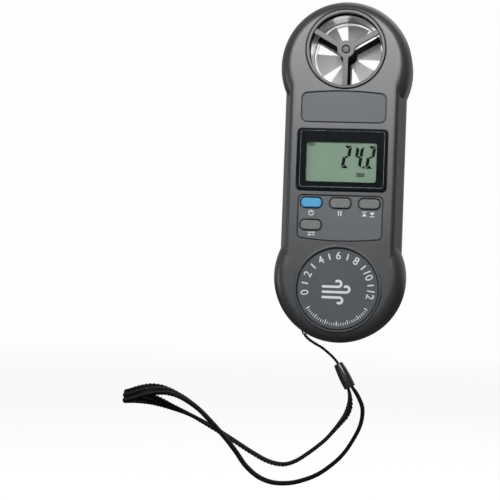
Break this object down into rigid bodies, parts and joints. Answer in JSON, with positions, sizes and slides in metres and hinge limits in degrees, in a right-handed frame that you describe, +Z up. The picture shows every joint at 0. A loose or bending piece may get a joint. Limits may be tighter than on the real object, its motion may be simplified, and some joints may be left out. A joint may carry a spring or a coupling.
{
  "type": "vane anemometer",
  "caption": "Handheld wind speed meter: round vane head, LCD and soft keys in a narrow waist, round lower lobe and a braided wrist strap.",
  "frame": {"origin": "centre of the flat back face, halfway up the case", "axes": "+Z up the case towards the vane head, +Y out of the back face (the display and keys face -Y), +X to the right as the display is read"},
  "size_m": [0.1306, 0.0338, 0.2221],
  "materials": {
    "case_front": "fine moulded texture",
    "case_rear": "fine moulded texture",
    "screw_steel": "zinc plated",
    "guard": "satin",
    "guard_black": "satin",
    "duct": "satin",
    "vane": "satin, silvery",
    "shaft_steel": "ground",
    "bearing": "satin",
    "chip": "matt",
    "board": "solder mask",
    "wire_black": "satin",
    "wire_red": "satin",
    "bezel": "gloss",
    "window": "clear",
    "lcd": "reflective",
    "foam": "matt",
    "holder": "satin",
    "elastomer": "striped",
    "can": "satin",
    "capacitor": "sleeve",
    "trim": "satin",
    "silicone": "matt",
    "key_blue": "satin",
    "key_grey": "satin",
    "label": "satin film",
    "disc": "satin film",
    "cell": "sleeve",
    "contact": "nickel plated",
    "cord": "braided",
    "ferrule": "gloss",
    "strap": "braided"
  },
  "bodies": {
    "case": {"front_case": "case_front", "rear_case": "case_rear", "case_screws": "screw_steel", "board_screws": "screw_steel", "front_guard": "guard", "duct_spider": "guard_black", "rear_guard": "guard", "vane_duct": "duct", "front_bearing": "bearing", "rear_bearing": "bearing", "speed_sensor": "chip", "sensor_board": "board", "sensor_cable": "wire_black", "display_bezel": "bezel", "display_window": "window", "lcd_panel": "lcd", "lcd_gasket": "foam", "lcd_holder": "holder", "upper_contact_strip": "elastomer", "lower_contact_strip": "elastomer", "main_board": "board", "meter_chip": "chip", "amplifier_chip": "chip", "quartz_crystal": "can", "electrolytic_capacitor": "capacitor", "trim_pot": "trim", "keypad_mat": "silicone", "key_panel_label": "label", "blank_label": "label", "label_disc": "disc", "battery_cell_1": "cell", "battery_cell_2": "cell", "battery_cell_3": "cell", "battery_cell_4": "cell", "positive_contact": "contact", "negative_contact": "contact", "top_bridge_contact": "contact", "left_bridge_contact": "contact", "right_bridge_contact": "contact", "battery_springs": "contact", "positive_wire": "wire_red", "negative_wire": "wire_black", "lanyard_pin": "shaft_steel"},
    "rotor": {"vane_wheel": "vane", "wheel_shaft": "shaft_steel"},
    "power_button": {"power_key": "key_blue"},
    "hold_button": {"hold_key": "key_grey"},
    "max_min_button": {"max_min_key": "key_grey"},
    "unit_button": {"unit_key": "key_grey"},
    "cover": {"battery_cover": "case_rear"},
    "cord": {"lanyard_cord": "cord"},
    "strap": {"cord_ferrule": "ferrule", "wrist_strap": "strap"}
  },
  "joints": [
    {"name": "vane_spin", "type": "hinge", "parent": "case", "child": "rotor", "pos_m": [0, -0.0062, 0.0552], "axis": [0, 1, 0], "continuous": true},
    {"name": "power_press", "type": "slide", "parent": "case", "child": "power_button", "axis": [0, 1, 0], "range_m": [0, 0.0008], "stiffness_N_per_m": 200, "springref_m": -0.0005},
    {"name": "hold_press", "type": "slide", "parent": "case", "child": "hold_button", "axis": [0, 1, 0], "range_m": [0, 0.0008], "stiffness_N_per_m": 200, "springref_m": -0.0005},
    {"name": "max_min_press", "type": "slide", "parent": "case", "child": "max_min_button", "axis": [0, 1, 0], "range_m": [0, 0.0008], "stiffness_N_per_m": 200, "springref_m": -0.0005},
    {"name": "unit_press", "type": "slide", "parent": "case", "child": "unit_button", "axis": [0, 1, 0], "range_m": [0, 0.0008], "stiffness_N_per_m": 200, "springref_m": -0.0005},
    {"name": "battery_cover_slide", "type": "slide", "parent": "case", "child": "cover", "axis": [0, 0, -1], "range_m": [0, 0.07]},
    {"name": "cord_swing", "type": "hinge", "parent": "case", "child": "cord", "pos_m": [-0.0163, -0.0084, -0.0689], "axis": [0, 1, 0], "range_deg": [0, 60]},
    {"name": "strap_swing", "type": "hinge", "parent": "cord", "child": "strap", "pos_m": [-0.00024, -0.0084, -0.08798], "axis": [0, 1, 0], "range_deg": [-20, 20]}
  ]
}
